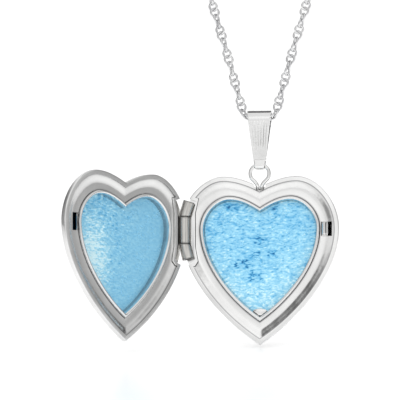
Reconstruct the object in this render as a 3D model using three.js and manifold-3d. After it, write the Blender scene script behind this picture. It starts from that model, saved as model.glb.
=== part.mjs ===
// A heart locket, open on its hinge, hanging from a folded bail on a fine rope chain.
// Millimetres. +X to the viewer's right, +Z up, the viewer stands at -Y.
// The origin is the centre of the bail's eye, where the chain passes through.

import * as THREE from 'three';
import { mergeVertices } from 'three/addons/utils/BufferGeometryUtils.js';
import Module from 'manifold-3d';

const wasm = await Module();
wasm.setup();

// ---------- driving dimensions ----------

const PARTING_Y = -0.3;          // the plane where the two halves meet
const LIP_GAP = 0.03;            // from the parting plane to each half's lip
const OPEN_ANGLE = 134;          // degrees between closed and the rest position

const HEART = { halfWidth: 9.5, lobeX: 4.39, lobeZ: -6.86, notchZ: -8.13, wideZ: -13.2, tipZ: -27.02 };
const BEAD = { halfWidth: 7.2, lobeX: 3.7, lobeZ: -9.2, notchZ: -10.6, wideZ: -13.15, tipZ: -24.25 };
const WINDOW = { halfWidth: 6.62, lobeX: 3.6, lobeZ: -9.76, notchZ: -11.16, wideZ: -13.1, tipZ: -23.5 };
const NOTCH_STEPS = 7;
const LOBE_STEPS = 8;
const SIDE_STEPS = 11;

const SIDE_WALL = 0.6;           // straight wall from the lip to the start of the dome
const DOME_RISE = 1.6;
const SHEET = 0.32;
const EDGE_ROUND = 0.08;          // the lip's softened edge
const LIP_WIDTH = 0.52;
const LIP_DEPTH = 0.16;          // thickness of the lip that overhangs the flange
const DOME_STEPS = [0.015, 0.05, 0.11, 0.19, 0.3, 0.44, 0.6, 0.78, 0.94];
const SPINE_TOP_Z = -12.4;
const SPINE_BOTTOM_Z = -18.5;

const FLANGE_INSET = 0.4;
const FLANGE_TOP_Y = 0.22;
const FLANGE_DISH = 0.2;
const FLANGE_SHEET = 0.24;
const FIT_GAP = 0.05;

const BEAD_CREST_Y = 0.08;
const BEVEL_BOTTOM_Y = 1.0;
const FOIL_Y = 1.04;
const FOIL_SHEET = 0.14;
const FOIL_MARGIN = 0.3;         // how far the foil runs under the picture frame
const BED_Y = 0.98;              // the flat bed that the picture lies on, clear of the frame and its tab
const BED_TIP_Z = -22.3;

const TAB_HALF_WIDTH = 0.85;     // the thumb tab that frees the back half's frame
const TAB_BASE = 0.55;           // from the window's tip up to the tab's widest line
const TAB_RISE = 0.3;
const TAB_Y = 0.55;
const TAB_SHEET = 0.23;

const CUT_PAST = 2;              // how far a cutter runs past what it cuts
const HINGE_X = -9.0;
const HINGE_CUT_X = HINGE_X + 0.05;   // the side of the heart is flat behind the hinge
const OUTSIDE_X = -10.5;
const KNUCKLE_R = 0.69;
const KNUCKLE_BORE = 0.3;
const END_BORE = 0.38;
const PIN_R = 0.22;
const KNUCKLE_GAP = 0.05;
const MIDDLE_TOP_Z = -11.66;
const MIDDLE_BOTTOM_Z = -14.88;
const UPPER_TILT = 17.5;
const LOWER_TILT = 14;
const OUTER_KNUCKLE = 1.86;
const LEAF_HALF = 0.42;
const LEAF_SHIFT = 0.15;
const LEAF_FRONT_Y = 0.4;
const POCKET_DEPTH = 0.8;
const POCKET_WALL = 0.28;
const LEAF_BACK_Y = POCKET_DEPTH - 0.03;
const POCKET = [
  [OUTSIDE_X, -9.3], [-8.62, -9.42], [-7.6, -9.75], [-8.0, -11.5],
  [-8.0, -14.95], [-7.66, -16.7], [-8.0, -17.25], [-8.6, -17.45], [OUTSIDE_X, -17.3],
];

const CATCH_TOP_Z = -12.33;
const CATCH_BOTTOM_Z = -14.05;
const TONGUE_ROOT_X = 7.32;
const TONGUE_EDGE_X = 8.14;
const TONGUE_PROFILE = [
  [0, 0.2], [0.12, -0.06], [0.26, -0.3], [0.4, -0.38], [0.5, -0.34],
  [0.64, -0.12], [0.82, 0], [0.82, 0.12], [0.6, 0.18], [0.42, 0.3], [0, 0.33],
];
const CATCH_HOLE_END_X = 8.64;
const SLOT_START_X = 7.2;
const SLOT_END_X = 8.0;
const SLOT_SPARE_Z = 0.2;

const LOOP_WIRE_R = 0.22;
const LOOP_R = 1.12;
const LOOP_TOP_Z = -5.42;
const LOOP_HOLE = { x: 0.72, z: 0.58, centreZ: -7.98 };
const LOOP_LEG = [
  [-0.25, 0.55, -8.9], [-0.25, 0.5, -8.6], [-0.25, 0.3, -8.3], [-0.27, 0.05, -7.96], [-0.52, 0, -7.55],
];

const EYE_R = 0.84;
const BAIL_SHEET = 0.22;
const BAIL_TOP_WIDTH = 2.87;
const BAIL_WAIST_WIDTH = 1.47;
const BAIL_SHOULDER_Z = 0.7;
const BAIL_WAIST_Z = -5.3;
const BAIL_FOLD_R = 0.36;
const BAIL_FOLD_WIDTH = 1.1;

const CHAIN_R = 0.47;
const CHAIN_END = new THREE.Vector3(6.38, 0, 16.4);
const CHAIN_EYE_Z = 0.15;

const JUMP_R = 0.6;
const JUMP_WIRE = 0.16;
const CLASP_EYE_R = 0.62;
const CLASP_EYE_WIRE = 0.2;
const END_RING_R = 1.12;
const END_RING_WIRE = 0.22;
const CLASP_R = 2.2;
const CLASP_TUBE = 0.5;
const CLASP_BORE = 0.33;
const BOLT_WIRE = 0.25;
const GAP_START = 20;
const GAP_END = 70;
const BOLT_TIP = 12;
const BOLT_TAIL = 150;
const TRIGGER_ANGLE = 128;
const BOLT_TRAVEL = 60;
const SLOT_HALF = 0.25;          // the slot that the trigger's post runs in
const SLOT_SPARE = 6;
const POST_R = 0.12;
const KNOB_R = 0.3;
const KNOB_OUT = 0.92;           // from the clasp's ring to the knob

// ---------- materials ----------

const polished = new THREE.MeshStandardMaterial({ color: 0xd9d9d6, roughness: 0.18, metalness: 1 });
const brushed = new THREE.MeshStandardMaterial({ color: 0xb4b3b0, roughness: 0.38, metalness: 1 });
const foilBlue = new THREE.MeshStandardMaterial({ color: 0x86c9ef, roughness: 0.3, metalness: 0.6 });
const chainSilver = new THREE.MeshStandardMaterial({ color: 0xc9c9c7, roughness: 0.25, metalness: 1 });

// ---------- solids ----------

function toSolid(geometry) {
  const bare = geometry.clone();
  bare.deleteAttribute('normal');
  bare.deleteAttribute('uv');
  const merged = mergeVertices(bare, 1e-5);
  const vertProperties = new Float32Array(merged.attributes.position.array);
  const triVerts = new Uint32Array(merged.index.array);
  return new wasm.Manifold(new wasm.Mesh({ numProp: 3, vertProperties, triVerts }));
}

function toGeometry(solid) {
  const mesh = solid.getMesh();
  const geometry = new THREE.BufferGeometry();
  geometry.setAttribute('position', new THREE.BufferAttribute(new Float32Array(mesh.vertProperties), 3));
  geometry.setIndex(new THREE.BufferAttribute(new Uint32Array(mesh.triVerts), 1));
  geometry.computeVertexNormals();
  return geometry;
}

function cut(geometry, ...tools) {
  return toGeometry(tools.reduce((solid, tool) => solid.subtract(toSolid(tool)), toSolid(geometry)));
}

function join(geometry, ...others) {
  return toGeometry(others.reduce((solid, other) => solid.add(toSolid(other)), toSolid(geometry)));
}

// A closed mesh through rings with equal numbers of points. A tube's last ring joins its first;
// any other loft is closed by a flat cap at each end.
function loft(rings, isTube) {
  const count = rings[0].length;
  const corners = rings.flat();
  const faces = [];
  const spans = isTube ? rings.length : rings.length - 1;
  for (let r = 0; r < spans; r += 1) {
    const here = r * count;
    const next = ((r + 1) % rings.length) * count;
    for (let i = 0; i < count; i += 1) {
      const j = (i + 1) % count;
      faces.push([here + i, here + j, next + j], [here + i, next + j, next + i]);
    }
  }
  if (!isTube) {
    const last = (rings.length - 1) * count;
    const flat = (ring) => ring.map((p) => new THREE.Vector2(p.x, p.z));
    for (const [a, b, c] of THREE.ShapeUtils.triangulateShape(flat(rings[0]), [])) faces.push([a, b, c]);
    for (const [a, b, c] of THREE.ShapeUtils.triangulateShape(flat(rings.at(-1)), [])) {
      faces.push([last + c, last + b, last + a]);
    }
  }
  return closedMesh(corners, faces);
}

// Turns every face outwards: the faces agree with each other, so the volume's sign says which way.
function closedMesh(corners, faces) {
  let volume = 0;
  for (const [a, b, c] of faces) {
    volume += corners[a].dot(new THREE.Vector3().crossVectors(corners[b], corners[c]));
  }
  const ordered = volume < 0 ? faces.map(([a, b, c]) => [a, c, b]) : faces;
  const geometry = new THREE.BufferGeometry().setFromPoints(corners);
  geometry.setIndex(ordered.flat());
  geometry.computeVertexNormals();
  return geometry;
}

// An outline in X and Z, solid from y0 to y1.
function plate(points, y0, y1) {
  const shape = new THREE.Shape(points.map(([x, z]) => new THREE.Vector2(x, z)));
  const geometry = new THREE.ExtrudeGeometry(shape, { depth: y1 - y0, bevelEnabled: false });
  return geometry.rotateX(Math.PI / 2).translate(0, y1, 0);
}

function block(x0, x1, y0, y1, z0, z1) {
  const geometry = new THREE.BoxGeometry(x1 - x0, y1 - y0, z1 - z0);
  return geometry.translate((x0 + x1) / 2, (y0 + y1) / 2, (z0 + z1) / 2);
}

function roundSection(radius, bore) {
  const section = new THREE.Shape();
  section.absarc(0, 0, radius, 0, 2 * Math.PI);
  if (bore > 0) section.holes.push(new THREE.Path().absarc(0, 0, bore, 0, 2 * Math.PI));
  return section;
}

// A section swept along a path. A full circle takes two sides for each curve segment.
function sweep(section, path, sides, steps) {
  return new THREE.ExtrudeGeometry(section, {
    steps, extrudePath: path, curveSegments: sides / 2, bevelEnabled: false,
  });
}

function tubeAlong(path, radius, sides, steps) {
  return sweep(roundSection(radius, 0), path, sides, steps);
}

// ---------- heart outlines ----------

function inset(outline, distance) {
  return {
    halfWidth: outline.halfWidth - distance,
    lobeX: outline.lobeX,
    lobeZ: outline.lobeZ - distance,
    notchZ: outline.notchZ - 1.05 * distance,
    wideZ: outline.wideZ,
    tipZ: outline.tipZ + 1.25 * distance,
  };
}

function heart({ halfWidth, lobeX, lobeZ, notchZ, wideZ, tipZ }) {
  const v = (x, z) => new THREE.Vector2(x, z);
  const fall = wideZ - tipZ;
  const curves = [
    [new THREE.CubicBezierCurve(v(0, notchZ), v(0.27 * lobeX, notchZ + 0.46 * (lobeZ - notchZ)),
      v(0.62 * lobeX, lobeZ), v(lobeX, lobeZ)), NOTCH_STEPS],
    [new THREE.CubicBezierCurve(v(lobeX, lobeZ), v(lobeX + 0.47 * (halfWidth - lobeX), lobeZ),
      v(halfWidth, wideZ + 0.55 * (lobeZ - wideZ)), v(halfWidth, wideZ)), LOBE_STEPS],
    [new THREE.CubicBezierCurve(v(halfWidth, wideZ), v(halfWidth, wideZ - 0.363 * fall),
      v(0.532 * halfWidth, tipZ + 0.237 * fall), v(0, tipZ)), SIDE_STEPS],
  ];
  const right = curves.flatMap(([curve, steps]) => curve.getPoints(steps).slice(0, -1));
  right.push(v(0, tipZ));
  const left = right.slice(1, -1).reverse().map((p) => v(-p.x, p.y));
  return [...right, ...left];
}

function ringAt(outline, y) {
  return heart(outline).map((p) => new THREE.Vector3(p.x, y, p.y));
}

// A ring part of the way from one outline to another.
function ringBetween(outer, inner, part, y) {
  const innerPoints = heart(inner);
  return heart(outer).map((p, i) => {
    const mid = p.clone().lerp(innerPoints[i], part);
    return new THREE.Vector3(mid.x, y, mid.y);
  });
}

// A heart cushion from the plane y0, with a straight wall and a dome that closes on the centre line.
function cushion(outline, y0, wall, rise, edge) {
  const rings = [ringAt(inset(outline, edge), y0), ringAt(outline, y0 + edge), ringAt(outline, wall)];
  const range = outline.lobeZ - outline.tipZ;
  for (const part of DOME_STEPS) {
    rings.push(heart(outline).map((p) => {
      const spineZ = THREE.MathUtils.lerp(SPINE_BOTTOM_Z, SPINE_TOP_Z, (p.y - outline.tipZ) / range);
      const y = wall + rise * Math.sqrt(1 - (1 - part) ** 2);
      return new THREE.Vector3(p.x * (1 - part), y, THREE.MathUtils.lerp(p.y, spineZ, part));
    }));
  }
  return loft(edge > 0 ? rings : rings.slice(1), false);
}

// ---------- the two halves ----------
// Each piece of a half is drawn as the back half, whose inside faces -Y from the parting plane at y = 0.
// The cover's pieces are the same ones mirrored through that plane.

// The pocket's outline, larger by a distance on its three inner sides.
function grownPocket(distance) {
  const middleZ = (MIDDLE_TOP_Z + MIDDLE_BOTTOM_Z) / 2;
  return POCKET.map(([x, z]) => [
    x === OUTSIDE_X ? x : x + distance,
    z + distance * Math.sign(z - middleZ),
  ]);
}

// Everything on the hinge side of x.
function hingeSide(x, topZ, bottomZ) {
  return block(OUTSIDE_X, x, -CUT_PAST, 2 * CUT_PAST, bottomZ, topZ);
}

function shell() {
  const cavityY = LIP_GAP + LIP_DEPTH;
  const lip = inset(HEART, LIP_WIDTH);
  const cavity = cushion(inset(HEART, SHEET), cavityY, SIDE_WALL, DOME_RISE - SHEET, 0);
  const opening = loft([ringAt(lip, -CUT_PAST), ringAt(lip, cavityY + SHEET)], false);
  const hollow = cut(
    join(cavity, opening),
    plate(grownPocket(POCKET_WALL), -CUT_PAST, POCKET_DEPTH + POCKET_WALL),
    hingeSide(HINGE_CUT_X + POCKET_WALL, -9.8, -17),
  );
  return cut(
    cushion(HEART, LIP_GAP, SIDE_WALL, DOME_RISE, EDGE_ROUND),
    hollow,
    plate(POCKET, -CUT_PAST, POCKET_DEPTH),
    hingeSide(HINGE_CUT_X, -7, -20),
  );
}

function loopHole(extra) {
  const points = [];
  for (let i = 0; i <= 16; i += 1) {
    const angle = Math.PI + (i / 16) * Math.PI;
    points.push([
      (LOOP_HOLE.x + extra) * Math.cos(angle),
      LOOP_HOLE.centreZ + (LOOP_HOLE.z + extra) * Math.sin(angle),
    ]);
  }
  const aboveZ = HEART.lobeZ + CUT_PAST;
  points.push([LOOP_HOLE.x + extra, aboveZ], [-LOOP_HOLE.x - extra, aboveZ]);
  return plate(points, -CUT_PAST, BEVEL_BOTTOM_Y + FIT_GAP);
}

function flange(opening) {
  const outer = inset(HEART, FLANGE_INSET);
  const inner = inset(BEAD, -FIT_GAP);
  const profile = [[0, 0], [0.12, 0.02], [0.35, 0.75], [0.55, 1], [0.78, 0.7], [1, 0.25]];
  const face = (y) => profile.map(([part, dip]) => ringBetween(outer, inner, part, y + dip * FLANGE_DISH));
  return cut(
    loft([...face(FLANGE_TOP_Y), ...face(FLANGE_TOP_Y + FLANGE_SHEET).reverse()], true),
    plate(grownPocket(POCKET_WALL + FIT_GAP), -CUT_PAST, CUT_PAST),
    hingeSide(HINGE_CUT_X + POCKET_WALL + FIT_GAP, -9.6, -17.2),
    opening,
  );
}

// The rolled bead, then the bevel that runs down to the picture.
function pictureFrame() {
  const profile = [
    [0, 0.62], [0, 0.26], [0.1, 0.15], [0.3, BEAD_CREST_Y], [0.5, BEAD_CREST_Y],
    [0.68, 0.15], [0.78, 0.3], [1, BEVEL_BOTTOM_Y], [0.8, BEVEL_BOTTOM_Y], [0.6, 0.62],
  ];
  return loft(profile.map(([part, y]) => ringBetween(BEAD, WINDOW, part, y)), true);
}

function thumbTab() {
  const baseZ = WINDOW.tipZ + TAB_BASE;
  const points = [];
  for (let i = 0; i <= 12; i += 1) {
    const angle = (i / 12) * Math.PI;
    points.push([TAB_HALF_WIDTH * Math.cos(angle), baseZ + TAB_RISE * Math.sin(angle)]);
  }
  points.push([-0.2, WINDOW.tipZ - 0.02], [0.2, WINDOW.tipZ - 0.02]);
  return plate(points, TAB_Y, TAB_Y + TAB_SHEET);
}

// The crinkled sheet, and the flat part of it that a picture lies on.
function foil() {
  const bed = { ...inset(WINDOW, 0.1), tipZ: BED_TIP_Z };
  const sheet = inset(WINDOW, -FOIL_MARGIN);
  return loft([
    ringAt(bed, BED_Y), ringAt(bed, FOIL_Y), ringAt(sheet, FOIL_Y), ringAt(sheet, FOIL_Y + FOIL_SHEET),
  ], false);
}

function catchTongue() {
  const profile = new THREE.Shape(TONGUE_PROFILE.map(([x, y]) => new THREE.Vector2(TONGUE_ROOT_X + x, y)));
  const depth = CATCH_TOP_Z - CATCH_BOTTOM_Z;
  const geometry = new THREE.ExtrudeGeometry(profile, { depth, bevelEnabled: false });
  return geometry.translate(0, 0, CATCH_BOTTOM_Z);
}

function mirrored(geometry) {
  const flipped = geometry.clone().applyMatrix4(new THREE.Matrix4().makeScale(1, -1, 1));
  const solidOrder = flipped.index ? flipped : mergeVertices(flipped);
  const order = solidOrder.index.array;
  for (let i = 0; i < order.length; i += 3) [order[i + 1], order[i + 2]] = [order[i + 2], order[i + 1]];
  solidOrder.computeVertexNormals();
  return solidOrder;
}

// ---------- hinge ----------

function lean(degrees) {
  const angle = THREE.MathUtils.degToRad(degrees);
  return new THREE.Vector3(Math.sin(angle), 0, Math.cos(angle));
}

const upperStart = new THREE.Vector3(HINGE_X, 0, MIDDLE_TOP_Z + KNUCKLE_GAP);
const lowerStart = new THREE.Vector3(HINGE_X, 0, MIDDLE_BOTTOM_Z - KNUCKLE_GAP);
const upperWay = lean(UPPER_TILT);
const lowerWay = lean(180 - LOWER_TILT);

function along(start, way, distance) {
  return start.clone().addScaledVector(way, distance);
}

function rod(from, to, radius, sides) {
  return tubeAlong(new THREE.LineCurve3(from, to), radius, sides, 1);
}

// A leaning knuckle, cut level where it meets the middle one, on a leaf that lies on the pocket's floor.
function outerKnuckle(start, way, isUpper) {
  const inside = along(start, way, -0.5);
  const end = along(start, way, OUTER_KNUCKLE);
  const leafFrom = along(start, way, 0.25).setX(start.x + LEAF_SHIFT);
  const leafTo = along(end, way, -0.15);
  leafTo.x += LEAF_SHIFT;
  const leaf = plate([
    [leafFrom.x - LEAF_HALF, leafFrom.z], [leafFrom.x + LEAF_HALF, leafFrom.z],
    [leafTo.x + LEAF_HALF, leafTo.z], [leafTo.x - LEAF_HALF, leafTo.z],
  ], LEAF_FRONT_Y, LEAF_BACK_Y);
  const farZ = start.z + (isUpper ? -CUT_PAST : CUT_PAST);
  const level = block(-12, -6, -CUT_PAST, CUT_PAST, Math.min(start.z, farZ), Math.max(start.z, farZ));
  return cut(
    join(rod(inside, end, KNUCKLE_R, 20), leaf),
    rod(inside, along(end, way, 0.5), END_BORE, 16),
    level,
  );
}

function middleKnuckle() {
  const top = new THREE.Vector3(HINGE_X, 0, MIDDLE_TOP_Z);
  const bottom = new THREE.Vector3(HINGE_X, 0, MIDDLE_BOTTOM_Z);
  const leaf = block(HINGE_X - 0.1, -8.05, 0.35, LEAF_BACK_Y, MIDDLE_BOTTOM_Z, MIDDLE_TOP_Z);
  const bore = rod(top.clone().setZ(top.z + 1), bottom.clone().setZ(bottom.z - 1), KNUCKLE_BORE, 16);
  return cut(join(rod(bottom, top, KNUCKLE_R, 20), leaf), bore);
}

// Bent at both ends of the middle knuckle, and a little short of the outer ones' open ends.
function hingePin() {
  const path = new THREE.CurvePath();
  path.add(new THREE.LineCurve3(along(upperStart, upperWay, OUTER_KNUCKLE - 0.12), upperStart));
  path.add(new THREE.LineCurve3(upperStart, lowerStart));
  path.add(new THREE.LineCurve3(lowerStart, along(lowerStart, lowerWay, OUTER_KNUCKLE - 0.35)));
  return tubeAlong(path, PIN_R, 10, 14);
}

// ---------- loop and bail ----------

// Two legs inside the back half, and a round ring above them.
function suspensionLoop() {
  const left = LOOP_LEG.map(([x, y, z]) => new THREE.Vector3(x, y, z));
  const right = LOOP_LEG.map(([x, y, z]) => new THREE.Vector3(-x, y, z)).reverse();
  const around = [];
  for (let degrees = 205; degrees >= -25; degrees -= 23) {
    const angle = THREE.MathUtils.degToRad(degrees);
    around.push(new THREE.Vector3(
      LOOP_R * Math.cos(angle), 0, LOOP_TOP_Z - LOOP_R + LOOP_R * Math.sin(angle)));
  }
  return tubeAlong(new THREE.CatmullRomCurve3([...left, ...around, ...right]), LOOP_WIRE_R, 12, 44);
}

// The strap's side view: round over the eye, tapering to where its two leaves meet.
function strapSide(radius, bottomHalf, bottomZ) {
  const outline = new THREE.Shape();
  outline.moveTo(-bottomHalf, bottomZ);
  outline.lineTo(bottomHalf, bottomZ);
  const tilt = Math.asin((radius - bottomHalf) / -bottomZ);
  outline.absarc(0, 0, radius, -tilt, Math.PI + tilt, false);
  return outline;
}

function extrudeAcross(shape, width) {
  const geometry = new THREE.ExtrudeGeometry(shape, { depth: width, bevelEnabled: false, curveSegments: 20 });
  geometry.translate(0, 0, -width / 2);
  return geometry.applyMatrix4(new THREE.Matrix4().makeBasis(
    new THREE.Vector3(0, 1, 0), new THREE.Vector3(0, 0, 1), new THREE.Vector3(1, 0, 0)));
}

function bailStrap() {
  const side = strapSide(EYE_R + BAIL_SHEET, 0.3, BAIL_WAIST_Z + 0.42);
  side.holes.push(strapSide(EYE_R, 0.03, BAIL_WAIST_Z + 0.75));
  const top = BAIL_TOP_WIDTH / 2;
  const waist = BAIL_WAIST_WIDTH / 2;
  const waistZ = BAIL_WAIST_Z + 0.3;
  const aboveZ = EYE_R + CUT_PAST;
  const taper = plate([
    [-top, aboveZ], [-top, BAIL_SHOULDER_Z], [-waist, waistZ],
    [waist, waistZ], [top, BAIL_SHOULDER_Z], [top, aboveZ],
  ], -CUT_PAST, CUT_PAST);
  return toGeometry(toSolid(extrudeAcross(side, 2 * BAIL_TOP_WIDTH)).intersect(toSolid(taper)));
}

function bailFold() {
  const top = BAIL_WAIST_Z + 0.38;
  const outerR = BAIL_FOLD_R + BAIL_SHEET;
  const low = LOOP_TOP_Z - 0.08;
  const side = new THREE.Shape();
  side.moveTo(-outerR, top);
  side.lineTo(-outerR, low);
  side.absarc(0, low, outerR, Math.PI, 2 * Math.PI, false);
  side.lineTo(outerR, top);
  const inside = new THREE.Path();
  inside.moveTo(-BAIL_FOLD_R, LOOP_TOP_Z + 0.2);
  inside.lineTo(-BAIL_FOLD_R, low);
  inside.absarc(0, low, BAIL_FOLD_R, Math.PI, 2 * Math.PI, false);
  inside.lineTo(BAIL_FOLD_R, LOOP_TOP_Z + 0.2);
  side.holes.push(inside);
  return extrudeAcross(side, BAIL_FOLD_WIDTH);
}

// ---------- chain and its ends ----------

const strandUp = CHAIN_END.clone().sub(new THREE.Vector3(1.64, 0, 0.6)).normalize();

function chainPath() {
  const left = (p) => new THREE.Vector3(-p.x, p.y, p.z);
  const rise = [
    new THREE.Vector3(0.7, 0, CHAIN_EYE_Z),
    new THREE.Vector3(1.4, 0, CHAIN_EYE_Z + 0.07),
    new THREE.Vector3(1.84, 0, CHAIN_EYE_Z + 0.36),
    new THREE.Vector3(2.04, 0, CHAIN_EYE_Z + 0.9),
    new THREE.Vector3(2.34, 0, 2.2),
    new THREE.Vector3(2.9, 0, 4.2),
    new THREE.Vector3(3.85, 0, 7.7),
    new THREE.Vector3(5, 0, 11.6),
    CHAIN_END,
  ];
  const points = [...rise.map(left).reverse(), new THREE.Vector3(0, 0, CHAIN_EYE_Z), ...rise];
  return new THREE.CatmullRomCurve3(points);
}

function ring(radius, wire, sides, turns) {
  return new THREE.TorusGeometry(radius, wire, sides, turns).rotateX(Math.PI / 2);
}

// A piece of a round ring that faces the viewer, between two angles from +X towards +Z.
function arc(radius, from, to, section, steps) {
  const points = [];
  for (let i = 0; i <= steps; i += 1) {
    const angle = THREE.MathUtils.degToRad(THREE.MathUtils.lerp(from, to, i / steps));
    points.push(new THREE.Vector3(radius * Math.cos(angle), 0, radius * Math.sin(angle)));
  }
  return sweep(section, new THREE.CatmullRomCurve3(points), 10, steps);
}

function claspBody() {
  const tube = arc(CLASP_R, GAP_END, GAP_START + 360, roundSection(CLASP_TUBE, CLASP_BORE), 30);
  const square = [[-1, -1], [1, -1], [1, 1], [-1, 1]];
  const section = new THREE.Shape(square.map(([u, v]) => new THREE.Vector2(u * SLOT_HALF, v * SLOT_HALF)));
  const slotStart = TRIGGER_ANGLE - SLOT_SPARE;
  const slotEnd = TRIGGER_ANGLE + BOLT_TRAVEL + SLOT_SPARE;
  return cut(tube, arc(CLASP_R + CLASP_TUBE, slotStart, slotEnd, section, 10));
}

function claspBolt() {
  const bar = arc(CLASP_R, BOLT_TIP, BOLT_TAIL, roundSection(BOLT_WIRE, 0), 16);
  const angle = THREE.MathUtils.degToRad(TRIGGER_ANGLE);
  const out = new THREE.Vector3(Math.cos(angle), 0, Math.sin(angle));
  const from = out.clone().multiplyScalar(CLASP_R);
  const knobAt = out.clone().multiplyScalar(CLASP_R + KNOB_OUT);
  const post = rod(from, knobAt, POST_R, 10);
  const knob = new THREE.SphereGeometry(KNOB_R, 12, 8).translate(knobAt.x, knobAt.y, knobAt.z);
  return join(bar, post, knob);
}

// ---------- assembly ----------

const locket = new THREE.Group();

function add(parent, name, geometry, material) {
  const mesh = new THREE.Mesh(geometry, material.clone());
  mesh.name = name;
  parent.add(mesh);
  return mesh;
}

const back = new THREE.Group();
back.position.y = PARTING_Y;
locket.add(back);

const catchHole = block(
  TONGUE_EDGE_X + 0.02, CATCH_HOLE_END_X, -CUT_PAST, CUT_PAST, CATCH_BOTTOM_Z, CATCH_TOP_Z);
const catchSlot = block(
  SLOT_START_X, SLOT_END_X, -CUT_PAST, CUT_PAST, CATCH_BOTTOM_Z - SLOT_SPARE_Z, CATCH_TOP_Z + SLOT_SPARE_Z);

add(back, 'back_shell', cut(shell(), loopHole(0)), polished);
add(back, 'back_flange', cut(flange(catchHole), loopHole(0.08)), polished);
add(back, 'back_picture_frame', join(pictureFrame(), thumbTab()), polished);
add(back, 'back_foil', foil(), foilBlue);
add(back, 'catch_tongue', catchTongue(), polished);
add(back, 'hinge_knuckle_upper', outerKnuckle(upperStart, upperWay, true), brushed);
add(back, 'hinge_knuckle_lower', outerKnuckle(lowerStart, lowerWay, false), brushed);
add(back, 'hinge_pin', hingePin(), brushed);

add(locket, 'suspension_loop', suspensionLoop(), polished);

const coverTurn = new THREE.Group();
coverTurn.position.set(HINGE_X, PARTING_Y, 0);
coverTurn.rotation.z = THREE.MathUtils.degToRad(-OPEN_ANGLE);
locket.add(coverTurn);
const cover = new THREE.Group();
cover.position.x = -HINGE_X;
coverTurn.add(cover);

add(cover, 'cover_shell', mirrored(shell()), polished);
add(cover, 'cover_flange', mirrored(flange(catchSlot)), polished);
add(cover, 'cover_picture_frame', mirrored(pictureFrame()), polished);
add(cover, 'cover_foil', mirrored(foil()), foilBlue);
add(cover, 'hinge_knuckle_middle', mirrored(middleKnuckle()), brushed);

add(locket, 'bail_strap', bailStrap(), polished);
add(locket, 'bail_fold', bailFold(), polished);
add(locket, 'chain', tubeAlong(chainPath(), CHAIN_R, 8, 56), chainSilver);

// Each chain end carries a jump ring edge on to the viewer, and the next ring passes through it.
const leftUp = new THREE.Vector3(-strandUp.x, 0, strandUp.z);
const leftEnd = new THREE.Vector3(-CHAIN_END.x, 0, CHAIN_END.z);
const jumpDistance = JUMP_R + JUMP_WIRE + 0.1;
const eyeDistance = jumpDistance + JUMP_R + CLASP_EYE_R - 0.42;
const claspDistance = eyeDistance + CLASP_EYE_R + CLASP_EYE_WIRE + CLASP_R + CLASP_TUBE + 0.02;

function addOnLeft(name, geometry, distance) {
  const mesh = add(locket, name, geometry, chainSilver);
  mesh.position.copy(along(leftEnd, leftUp, distance));
  return mesh;
}

function addOnRight(name, geometry, distance) {
  const mesh = add(locket, name, geometry, chainSilver);
  mesh.position.copy(along(CHAIN_END, strandUp, distance));
  return mesh;
}

const jumpRing = ring(JUMP_R, JUMP_WIRE, 8, 24).rotateZ(Math.PI / 2);
addOnLeft('jump_ring_left', jumpRing, jumpDistance).rotation.y = Math.atan2(leftUp.x, leftUp.z);
addOnRight('jump_ring_right', jumpRing, jumpDistance).rotation.y = Math.atan2(strandUp.x, strandUp.z);
addOnLeft('clasp_eye', ring(CLASP_EYE_R, CLASP_EYE_WIRE, 8, 24), eyeDistance);
addOnLeft('clasp_body', claspBody(), claspDistance);
addOnLeft('clasp_bolt', claspBolt(), claspDistance);
addOnRight('end_ring', ring(END_RING_R, END_RING_WIRE, 8, 32), eyeDistance + END_RING_R - CLASP_EYE_R);

export default locket;
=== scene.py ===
import math

import bmesh
import bpy
import numpy as np
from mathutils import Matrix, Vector, noise
from mathutils.kdtree import KDTree


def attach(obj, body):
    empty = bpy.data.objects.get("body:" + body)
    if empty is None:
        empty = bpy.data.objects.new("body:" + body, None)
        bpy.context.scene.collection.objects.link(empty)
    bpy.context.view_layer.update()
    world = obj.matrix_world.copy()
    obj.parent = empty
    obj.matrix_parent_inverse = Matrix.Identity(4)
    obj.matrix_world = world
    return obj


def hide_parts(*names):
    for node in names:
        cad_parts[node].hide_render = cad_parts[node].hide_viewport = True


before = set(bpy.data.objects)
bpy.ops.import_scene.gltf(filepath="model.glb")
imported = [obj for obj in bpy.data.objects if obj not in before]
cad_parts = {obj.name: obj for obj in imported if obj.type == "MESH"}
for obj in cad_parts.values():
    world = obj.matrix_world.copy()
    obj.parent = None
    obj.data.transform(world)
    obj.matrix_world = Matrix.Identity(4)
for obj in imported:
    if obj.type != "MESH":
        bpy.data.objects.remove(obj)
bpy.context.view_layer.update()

MM = 0.001

# ---------- sizes in millimetres, the same ones as the CAD part unless a comment says otherwise ----------

# Both halves are drawn as the back one, with the parting plane at y = 0 and the inside toward +y.
PARTING_Y = -0.3
LIP_GAP = 0.03
OPEN_ANGLE = math.radians(134)
HINGE_X = -9.0

HEART = dict(half_width=9.5, lobe_x=4.39, lobe_z=-6.86, notch_z=-8.13, wide_z=-13.2, tip_z=-27.02)
BEAD = dict(half_width=7.2, lobe_x=3.7, lobe_z=-9.2, notch_z=-10.6, wide_z=-13.15, tip_z=-24.25)
WINDOW = dict(half_width=6.62, lobe_x=3.6, lobe_z=-9.76, notch_z=-11.16, wide_z=-13.1, tip_z=-23.5)
# The outlines have four times the CAD's points.
NOTCH_STEPS, LOBE_STEPS, SIDE_STEPS = 28, 32, 44

SIDE_WALL, DOME_RISE, SHEET = 0.6, 1.6, 0.32
DOME_STEPS, LIP_STEPS = 30, 5
# The lip's edge is rounder than the CAD's.
LIP_WIDTH, LIP_DEPTH, LIP_ROUND = 0.52, 0.16, 0.13
SPINE_TOP_Z, SPINE_BOTTOM_Z = -12.4, -18.5
FLANGE_INSET, FLANGE_TOP_Y, FLANGE_DISH, FLANGE_SHEET, FIT_GAP = 0.4, 0.22, 0.2, 0.24, 0.05
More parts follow.
